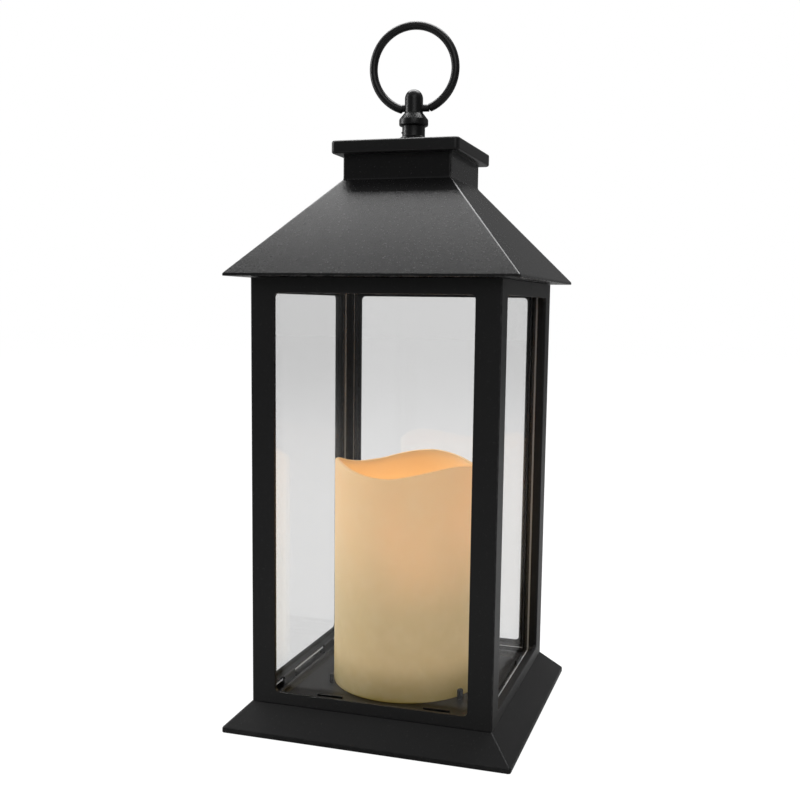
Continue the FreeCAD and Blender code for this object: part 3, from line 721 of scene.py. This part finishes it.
def bodyTube():
    # posts and rails all round: the windows are wider inside, behind a thin skin
    s = bodySet
    bm = bmesh.new()
    inner = s["half"] - s["wall"]
    joinRings(bm, [squareRing(bm, s["half"], s["bottom"], s["corner"]),
                   squareRing(bm, s["half"], s["top"], s["corner"]),
                   squareRing(bm, inner, s["top"], s["innerCorner"]),
                   squareRing(bm, inner, s["bottom"], s["innerCorner"])])
    bmesh.ops.recalc_face_normals(bm, faces=bm.faces)
    step = s["half"] - s["skin"]
    openWalls(bm, s["half"], step, s["window"], s["sill"], s["head"])
    openWalls(bm, inner, step, s["rebate"], s["rebateLow"], s["rebateHigh"])
    for axis, side in wallSides:
        bmesh.ops.bridge_loops(bm, edges=openRim(bm, axis, side, step))
    softenEdges(bm, [edge for edge in bm.edges if isWindowRim(edge)], s["softWindow"], 2)
    bmesh.ops.recalc_face_normals(bm, faces=bm.faces)
    return bm


def addHooks(bm, side):
    # hooks behind the rails that hold the clear panels, for the front or the rear half
    s = hookSet
    face = bodySet["half"] - bodySet["wall"]
    lip = face - s["panel"] - s["gap"]
    centre = (panelLow.z + panelHigh.z) / 2
    for quarter in range(4):
        for at in s["at"]:
            for up in (False, True):
                before = set(bm.verts)
                left, right = at - s["half"], at + s["half"]
                addBlock(bm, (left, -face - s["sunk"], s["from"]),
                         (right, -lip + s["thick"], panelLow.z - s["under"]), s["softFoot"])
                addBlock(bm, (left, -lip, s["from"]),
                         (right, -lip + s["thick"], panelLow.z + s["lap"]), s["softLip"])
                fresh = addedSince(bm, before)
                if up:
                    bmesh.ops.transform(bm, verts=fresh, matrix=Matrix.Diagonal((1, 1, -1, 1)))
                    bmesh.ops.translate(bm, verts=fresh, vec=(0, 0, 2 * centre))
                turnRound(bm, fresh, 90 * quarter)
                if side * sum(vert.co.y for vert in fresh) < 0:
                    bmesh.ops.delete(bm, geom=fresh, context="VERTS")


def makeFrame(name, node, side):
    # half of the body: side is -1 for the front half and 1 for the rear one
    s = bodySet
    bm = bodyTube()
    seam = (0, s["seamAt"] + side * s["seam"], 0)
    cut = bmesh.ops.bisect_plane(bm, geom=bm.verts[:] + bm.edges[:] + bm.faces[:], plane_co=seam,
                                 plane_no=(0, -side, 0), clear_outer=True)
    rim = [edge for edge in cut["geom_cut"] if isinstance(edge, bmesh.types.BMEdge)]
    bmesh.ops.holes_fill(bm, edges=rim, sides=0)
    addHooks(bm, side)
    bmesh.ops.recalc_face_normals(bm, faces=bm.faces)
    piece = finishPiece(name, bm, "housing", [node], [blackPlastic])
    # paler corner posts: partly wear, partly painted highlight
    markWearAndHighlight(piece, lambda co: s["wornAndLit"] if min(abs(co.x), abs(co.y)) > s["wornAndLitFrom"] else 0.0)


def makeWindow(name, node, quarter):
    bm = bmesh.new()
    addBlock(bm, panelLow, panelHigh, bodySet["softPanel"])
    turnRound(bm, bm.verts, 90 * quarter)
    bmesh.ops.recalc_face_normals(bm, faces=bm.faces)
    across = 1 - quarter % 2
    for face in bm.faces:
        face.material_index = 0 if abs(face.normal[across]) > facing else 1
    finishPiece(name, bm, "housing", [node], [clearSheet, sheetEdge])


roofLow, roofHigh = boxMillimetres("roof_shell")
roofSet = {
    "eave": roofHigh.x, "eaveZ": 218.85, "lip": 1.2, "neck": 26.9, "neckZ": 266.2, "top": roofHigh.z,
    "corner": 0.9,
    "inner": 24.9, "innerZ": 265.4, "topThick": 2.2, "hole": 8.5, "soffit": 220.3, "innerEave": 66.9,
    "innerCorner": 0.5, "collar": 52.0, "collarInner": 50.4, "collarZ": roofLow.z, "collarCorner": 3.0,
    "collarInnerCorner": 2.0, "softEave": 0.35, "softNeck": 0.7, "wornAndLitHip": 0.8, "wornAndLitEave": 0.8,
    "eaveReach": 69.0, "eaveTo": 219.6, "hipFrom": 218.0,
}


def makeRoof():
    # hipped shell with its neck, a flat soffit and a collar that enters the body
    s = roofSet
    bm = bmesh.new()
    under = s["top"] - s["topThick"]
    rings = [squareRing(bm, s["eave"], s["eaveZ"], s["corner"]),
             squareRing(bm, s["eave"], s["eaveZ"] + s["lip"], s["corner"]),
             squareRing(bm, s["neck"], s["neckZ"], s["corner"]),
             squareRing(bm, s["neck"], s["top"], s["corner"]),
             roundRing(bm, s["hole"], s["top"]), roundRing(bm, s["hole"], under),
             squareRing(bm, s["inner"], under, s["innerCorner"]),
             squareRing(bm, s["inner"], s["innerZ"], s["innerCorner"]),
             squareRing(bm, s["innerEave"], s["soffit"], s["innerCorner"]),
             squareRing(bm, s["collarInner"], s["soffit"], s["collarInnerCorner"]),
             squareRing(bm, s["collarInner"], s["collarZ"], s["collarInnerCorner"]),
             squareRing(bm, s["collar"], s["collarZ"], s["collarCorner"]),
             squareRing(bm, s["collar"], s["eaveZ"], s["collarCorner"])]
    joinRings(bm, rings)
    softenEdges(bm, rings[0] + rings[1], s["softEave"], 2)
    softenEdges(bm, rings[2], s["softNeck"])
    bmesh.ops.recalc_face_normals(bm, faces=bm.faces)
    piece = finishPiece("roofShell", bm, "housing", ["roof_shell"], [roofPlastic])

    # paler hips and eave edge: partly wear, partly painted highlight
    def wearAndHighlightOf(co):
        hip = onHip(co, s["wornAndLitHip"]) if co.z > s["hipFrom"] else 0.0
        eave = s["wornAndLitEave"] if co.z < s["eaveTo"] and reachOf(co) > s["eaveReach"] else 0.0
        return max(hip, eave)
    markWearAndHighlight(piece, wearAndHighlightOf)


capLow, capHigh = boxMillimetres("roof_cap")
capSet = {"half": capHigh.x, "bottom": 277.8, "top": capHigh.z, "pocket": 24.9, "pocketCorner": 1.0,
          "roofOver": 281.6, "boss": 8.0, "bossZ": capLow.z, "hole": 2.97, "corner": 2.4, "soft": 1.1,
          "wornAndLit": 0.7, "wornAndLitFrom": 283.2, "wornAndLitReach": 30.8}


def makeCap():
    # square plate over the neck, with a boss that takes the foot of the finial
    s = capSet
    bm = bmesh.new()
    rings = [squareRing(bm, s["half"], s["bottom"], s["corner"]),
             squareRing(bm, s["half"], s["top"], s["corner"]),
             roundRing(bm, s["hole"], s["top"]), roundRing(bm, s["hole"], s["bossZ"]),
             roundRing(bm, s["boss"], s["bossZ"]), roundRing(bm, s["boss"], s["roofOver"]),
             squareRing(bm, s["pocket"], s["roofOver"], s["pocketCorner"]),
             squareRing(bm, s["pocket"], s["bottom"], s["pocketCorner"])]
    joinRings(bm, rings)
    softenEdges(bm, rings[0] + rings[1], s["soft"], 4)
    bmesh.ops.recalc_face_normals(bm, faces=bm.faces)
    piece = finishPiece("roofCap", bm, "housing", ["roof_cap"], [blackPlastic])
    # paler top edge: partly wear, partly painted highlight
    markWearAndHighlight(piece, lambda co: s["wornAndLit"] if co.z > s["wornAndLitFrom"] and reachOf(co) > s["wornAndLitReach"] else 0.0)


knobLow, knobHigh = boxMillimetres("finial_knob")
knobSet = {"knob": 4.5, "stem": 5.65, "collar": 7.2, "flange": 7.4, "spigot": 2.9, "bottom": knobLow.z,
           "flangeZ": 284.95, "flangeTop": 288.0, "stemZ": (289.6, 294.0), "collarZ": (295.1, 297.2),
           "neckZ": 301.2, "top": knobHigh.z, "steps": 64, "nub": 0.6, "nubZ": 291.5,
           "wornAndLit": 0.8, "wornAndLitZ": (297.0, 297.9), "wornAndLitTop": 0.7}


def makeKnob():
    # flange, stem and collar with a domed head, and the nub that the mould left on the stem
    s = knobSet
    domeZ = s["top"] - s["knob"]
    flange, stem, collar, knob = s["flange"], s["stem"], s["collar"], s["knob"]
    stemLow, stemHigh = s["stemZ"]
    collarLow, collarHigh = s["collarZ"]
    outline = [(0, s["bottom"]), (s["spigot"], s["bottom"]), (s["spigot"], s["flangeZ"]),
               (flange - 0.5, s["flangeZ"]), (flange - 0.12, s["flangeZ"] + 0.15),
               (flange, s["flangeZ"] + 0.5),
               (flange, s["flangeTop"]), (flange - 0.25, s["flangeTop"] + 0.4),
               (stem + 0.2, stemLow - 0.4), (stem, stemLow), (stem, stemHigh), (stem + 0.3, stemHigh + 0.3),
               (collar - 0.6, collarLow - 0.75), (collar - 0.14, collarLow - 0.5), (collar, collarLow),
               (collar, collarHigh), (collar - 0.15, collarHigh + 0.45),
               (knob + 0.75, s["neckZ"] - 1.3), (knob + 0.2, s["neckZ"] - 0.7), (knob, s["neckZ"]),
               (knob, domeZ)]
    for step in range(1, 10):
        angle = math.radians(10 * step)
        outline.append((knob * math.cos(angle), domeZ + knob * math.sin(angle)))
    bm = turnedBody(outline, s["steps"])
    nub = Matrix.Translation((-stem - 0.1, 0, s["nubZ"]))
    bmesh.ops.create_icosphere(bm, subdivisions=2, radius=s["nub"], matrix=nub)
    piece = finishPiece("finialKnob", bm, "finial", ["finial_knob"], [ringPlastic],
                        50.0)

    # paler shoulder and top: partly wear, partly painted highlight
    def wearAndHighlightOf(co):
        return s["wornAndLit"] if s["wornAndLitZ"][0] < co.z < s["wornAndLitZ"][1] or co.z > s["top"] - s["wornAndLitTop"] else 0.0
    markWearAndHighlight(piece, wearAndHighlightOf)


ringSet = {"yaw": 7.3, "centre": 322.0, "radius": 20.4, "wire": 2.0, "wireSteps": 20, "steps": 112,
           "softEnd": 0.7, "left": 5.5, "right": 7.6,
           "pinX": 0.9, "pinZ": 303.07, "pin": 1.75, "pinLong": 13.4, "pinSteps": 24,
           "nub": 0.55, "nubOut": 0.3, "wornAndLit": 0.6, "wornAndLitFrom": 343.6}


def makeRing():
    # open ring, a straight pin across its gap and the little nub that the mould left
    s = ringSet
    bm = bmesh.new()
    right = math.asin(s["right"] / s["radius"])
    left = math.asin(s["left"] / s["radius"])
    start = Vector((s["right"], 0, s["centre"] - s["radius"] * math.cos(right)))
    place = Matrix.Translation(start) @ Matrix.Rotation(-right, 4, "Y") @ Matrix.Rotation(math.pi / 2, 4, "Y")
    made = bmesh.ops.create_circle(bm, segments=s["wireSteps"], radius=s["wire"], cap_ends=True, matrix=place)
    endFace = made["verts"][0].link_faces[0]
    geom = list(endFace.verts) + list(endFace.edges) + [endFace]
    bmesh.ops.spin(bm, geom=geom, cent=(0, 0, s["centre"]), axis=(0, 1, 0),
                   angle=-(math.tau - right - left), steps=s["steps"], use_merge=False)
    ends = [face for face in bm.faces if len(face.verts) > 4]
    softenEdges(bm, [edge for face in ends for edge in face.edges], s["softEnd"], 3)
    pinPlace = Matrix.Translation((s["pinX"], 0, s["pinZ"])) @ Matrix.Rotation(math.pi / 2, 4, "Y")
    bmesh.ops.create_cone(bm, cap_ends=True, segments=s["pinSteps"], radius1=s["pin"], radius2=s["pin"],
                          depth=s["pinLong"], matrix=pinPlace)
    nubPlace = Matrix.Translation(start + Vector((s["nubOut"], 0, s["wire"] - 0.1)))
    bmesh.ops.create_icosphere(bm, subdivisions=2, radius=s["nub"], matrix=nubPlace)
    turnRound(bm, bm.verts, s["yaw"])
    bmesh.ops.recalc_face_normals(bm, faces=bm.faces)
    piece = finishPiece("carryRing", bm, "ring", ["carry_ring"], [ringPlastic], 50.0,
                        False)
    # paler top of the ring: partly wear, partly painted highlight
    markWearAndHighlight(piece, lambda co: s["wornAndLit"] if co.z > s["wornAndLitFrom"] else 0.0)


shellLow = boxMillimetres("candle_shell")[0]
candleSet = {"radius": 38.1, "bottom": shellLow.z, "rim": 126.0, "wall": 2.5, "rimRound": 0.9, "inside": 35.4,
             "insideTo": 60.0, "well": 99.5, "foot": 1.1,
             "steps": 144, "sideSteps": 26, "rimSteps": 8, "innerSteps": 9,
             "wave": 2.75, "lobes": 3, "peak": 86.0, "waveFrom": 96.0, "waveEase": 1.3,
             "wobble": 0.25, "wobbleSize": 9.0, "wobbleFlat": 0.6, "slowSize": 32.0,
             "sink": -0.16, "slowSink": 0.12, "wobbleSink": 0.10}


def makeCandle():
    # hollow sleeve whose rim rises and falls in three lobes, with hand-poured unevenness
    s = candleSet
    radius, bottom, foot = s["radius"], s["bottom"], s["foot"]
    rimZ = s["rim"] - s["rimRound"]
    innerTop = s["well"] + 0.5
    outline = [(s["inside"], bottom), (radius - foot, bottom), (radius - 0.35, bottom + 0.25),
               (radius, bottom + foot)]
    sideRise = s["rim"] - bottom - 2.0
    for step in range(1, s["sideSteps"] + 1):
        outline.append((radius, bottom + foot + sideRise * step / s["sideSteps"]))
    for step in range(1, s["rimSteps"]):
        angle = math.radians(180 * step / s["rimSteps"])
        outline.append((radius - s["wall"] / 2 + s["wall"] / 2 * math.cos(angle),
                        rimZ + s["rimRound"] * math.sin(angle)))
    for step in range(1, s["innerSteps"]):
        drop = (s["rim"] - innerTop) * step / s["innerSteps"]
        outline.append((radius - s["wall"] - 0.1, rimZ - drop))
    outline += [(s["inside"], s["well"] - 1.0), (s["inside"], s["insideTo"])]
    bm = turnedBody(outline + [outline[0]], s["steps"])
    for vert in bm.verts:
        x, y, z = vert.co
        angle = math.degrees(math.atan2(y, x))
        lift = min(1.0, max(0.0, (z - s["waveFrom"]) / (s["rim"] - s["waveFrom"])) ** s["waveEase"])
        wobble = noise.noise(Vector((x, y, z * s["wobbleFlat"])) / s["wobbleSize"])
        slow = noise.noise(Vector((x, y, z)) / s["slowSize"])
        wave = s["wave"] * math.cos(math.radians(s["lobes"] * (angle - s["peak"])))
        vert.co.z += (wave + wobble * s["wobble"]) * lift
        if vert.co.z > bottom + 1.5:
            outward = s["sink"] + s["slowSink"] * slow + s["wobbleSink"] * wobble * lift
            vert.co += Vector((x, y, 0)).normalized() * outward
    for face in bm.faces:
        middle = face.calc_center_median()
        inCup = math.hypot(middle.x, middle.y) < radius - s["wall"] + 0.3 and middle.z > bottom + 2
        face.material_index = 1 if inCup else 0
    finishPiece("candleShell", bm, "candle", ["candle_shell"], [ivoryWax, litCup],
                60.0, False)


wellSet = {"hole": 4.3, "gap": 0.1, "steps": 96, "uneven": 0.35, "unevenSize": 8.0, "unevenFrom": 95.4}


def makeWell():
    # dished floor of the cup round the lamp's hole
    s = wellSet
    edge = candleSet["inside"] - s["gap"]
    top = candleSet["well"]
    outline = [(s["hole"], 93.6), (edge, 95.6), (edge, top - 0.6), (edge - 0.5, top), (edge - 1.6, 98.2),
               (edge - 4.0, 97.3), (22.0, 96.2), (12.0, 95.9), (7.0, 95.6), (s["hole"], 95.5)]
    bm = turnedBody(outline + [outline[0]], s["steps"])
    for vert in bm.verts:
        if vert.co.z > s["unevenFrom"] and math.hypot(vert.co.x, vert.co.y) < edge - 1:
            vert.co.z += s["uneven"] * noise.noise(Vector((vert.co.x, vert.co.y, 3.0)) / s["unevenSize"])
    finishPiece("candleWell", bm, "candle", ["candle_well"], [litCup], 60.0, False)


flameShape = {"steps": 40, "bendFrom": 99.0, "bendOver": 14.0, "bend": 0.5, "bendTurn": 4}


def makeFlame():
    # hollow flame on a short sleeve, bent a little to one side
    s = flameShape
    outline = [(2.8, 91.0), (4.0, 91.0), (4.2, 91.3), (4.2, 95.4), (4.6, 97.0), (4.95, 99.0), (5.0, 100.6),
               (4.8, 102.2), (4.3, 103.9), (3.6, 105.8), (2.8, 107.8), (2.0, 109.6), (1.2, 111.2),
               (0.6, 112.4), (0.0, 113.0), (0.0, 102.5), (2.8, 102.5), (2.8, 91.0)]
    bm = turnedBody(outline, s["steps"])
    for vert in bm.verts:
        rise = max(0.0, vert.co.z - s["bendFrom"]) / s["bendOver"]
        vert.co.x += s["bend"] * rise * rise * math.sin(rise * s["bendTurn"])
    finishPiece("flameTip", bm, "candle", ["flame_tip"], [flameDiffuser], 60.0, False)


makeSkirt()
makeTray()
makeFrame("frontFrame", "front_frame", -1)
makeFrame("rearFrame", "rear_frame", 1)
for windowTurn, windowSide in enumerate(("Front", "Right", "Rear", "Left")):
    makeWindow("window" + windowSide, "window_" + windowSide.lower(), windowTurn)
makeRoof()
makeCap()
makeKnob()
makeRing()
makeCandle()
makeWell()
makeFlame()


# finishes of the CAD pieces that stay

screwSteel = metalFinish("zincSteel", (0.34, 0.34, 0.33), (0.62, 0.62, 0.61), 0.24)
nickel = metalFinish("nickel", (0.52, 0.51, 0.48), (0.78, 0.77, 0.74), 0.16)
tin = metalFinish("tinnedWire", (0.50, 0.50, 0.48), (0.74, 0.73, 0.70), 0.22, (1.0, 1.0, 0.1))
nylon = softPlasticFinish("nylon", (0.66, 0.65, 0.60), (0.80, 0.79, 0.74), 0.38)
whitePlastic = softPlasticFinish("whitePlastic", (0.70, 0.68, 0.62), (0.80, 0.78, 0.72), 0.40)
stalkPlastic = softPlasticFinish("stalkPlastic", (0.74, 0.72, 0.66), (0.84, 0.82, 0.76), 0.45)
doorPlastic = softPlasticFinish("doorPlastic", (0.68, 0.66, 0.60), (0.78, 0.76, 0.70), 0.46)
switchPlastic = softPlasticFinish("switchPlastic", (0.016, 0.016, 0.018), (0.030, 0.030, 0.032), 0.40)
lampEpoxy = softPlasticFinish("lampEpoxy", (0.95, 0.78, 0.45), (1.0, 0.86, 0.55), 0.20, (1.0, 0.62, 0.26))
keptNodes = {
    "tray_screws": screwSteel, "cap_screws": screwSteel, "finial_washer": screwSteel,
    "finial_screw": screwSteel, "foot_screws": screwSteel, "swivel_washer": nylon, "led_lamp": lampEpoxy,
    "led_stalk": stalkPlastic,
    "led_leads": tin, "circuit_board": boardFinish(), "candle_foot": whitePlastic,
    "battery_box": stalkPlastic,
    "battery_front": cellFinish("cellFront", 1), "battery_middle": cellFinish("cellMiddle", -1),
    "battery_rear": cellFinish("cellRear", 1), "contact_springs": nickel, "contact_plates": nickel,
    "switch_case": whitePlastic, "switch_slider": switchPlastic, "battery_door": doorPlastic,
}
for node, material in keptNodes.items():
    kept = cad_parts[node]
    kept.data.materials.clear()
    kept.data.materials.append(material)
print("kept nodes finished:", len(keptNodes))


floorSet = {"half": 6.0, "lighting": 0.30, "rough": 0.9, "seen": 0.08, "glow": 0.98}


def makeFloor():
    # pale floor: nearly white to the camera, greyer in the light that it throws back
    s = floorSet
    bm = bmesh.new()
    bmesh.ops.create_grid(bm, x_segments=1, y_segments=1, size=s["half"])
    mesh = bpy.data.meshes.new("floor")
    bm.to_mesh(mesh)
    bm.free()
    floor = bpy.data.objects.new("floor", mesh)
    finish = Finish("paleFloor", base_color=grey(s["lighting"]), roughness=s["rough"])
    camera = finish.flow.node("ShaderNodeLightPath", output="Is Camera Ray")
    pale = finish.flow.node("ShaderNodeBsdfDiffuse", {}, {"Color": grey(s["seen"])})
    shine = finish.flow.node("ShaderNodeEmission", {}, {"Color": grey(1.0), "Strength": s["glow"]})
    seen = finish.flow.node("ShaderNodeAddShader", {}, {0: pale, 1: shine})
    finish.endIn(finish.blend(camera, finish.principled, seen))
    mesh.materials.append(finish.material)
    scene.collection.objects.link(floor)


# a lamp is its place, the point it faces, its width and height, and its power
lampSet = {
    "overhead": ((-0.20, 0.54, 1.50), (-0.20, 0.54, 0.0), (1.6, 1.0), 38.0),
    "rightBox": ((1.30, 0.70, 0.60), (0.0, 0.0, 0.18), (0.5, 0.9), 0.4),
    "leftBox": ((-1.20, -0.10, 0.60), (0.0, 0.0, 0.18), (0.4, 0.9), 8.0),
    "frontFill": ((0.50, -1.30, 0.90), (0.0, 0.0, 0.10), (1.0, 0.8), 4.2),
}


def addLamp(name, place, target, size, power):
    lamp = bpy.data.lights.new(name, "AREA")
    lamp.shape = "RECTANGLE"
    lamp.size, lamp.size_y = size
    lamp.energy = power
    holder = bpy.data.objects.new(name, lamp)
    holder.location = place
    holder.rotation_euler = (Vector(target) - Vector(place)).to_track_quat("-Z", "Y").to_euler()
    scene.collection.objects.link(holder)


worldSet = {"seen": 1.0, "around": 0.085, "behind": 0.07, "behindSpan": (0.0, 0.9), "above": 0.20,
            "aboveSpan": (0.25, 0.95)}


def makeWorld():
    # white where it is seen, and for lighting a dim room that is brighter above and behind
    s = worldSet
    world = bpy.data.worlds.new("studio")
    world.use_nodes = True
    tree = world.node_tree
    tree.nodes.clear()
    flow = Flow(tree)
    where = flow.node("ShaderNodeTexCoord")
    back = flow.node("ShaderNodeSeparateXYZ", {}, {0: where}, output=1).smooth(*s["behindSpan"])
    up = flow.node("ShaderNodeSeparateXYZ", {}, {0: where}, output=2).smooth(*s["aboveSpan"])
    lighting = back * s["behind"] + up * s["above"] + s["around"]
    camera = flow.node("ShaderNodeLightPath", output="Is Camera Ray")
    strength = lighting + camera * (s["seen"] - lighting)
    room = flow.node("ShaderNodeBackground", {}, {"Color": grey(1.0), "Strength": strength})
    output = tree.nodes.new("ShaderNodeOutputWorld")
    tree.links.new(room.socket, output.inputs["Surface"])
    scene.world = world


makeFloor()
makeWorld()
for lampName, lampValues in lampSet.items():
    addLamp(lampName, *lampValues)
scene.view_settings.view_transform = "Standard"
print("stage made")
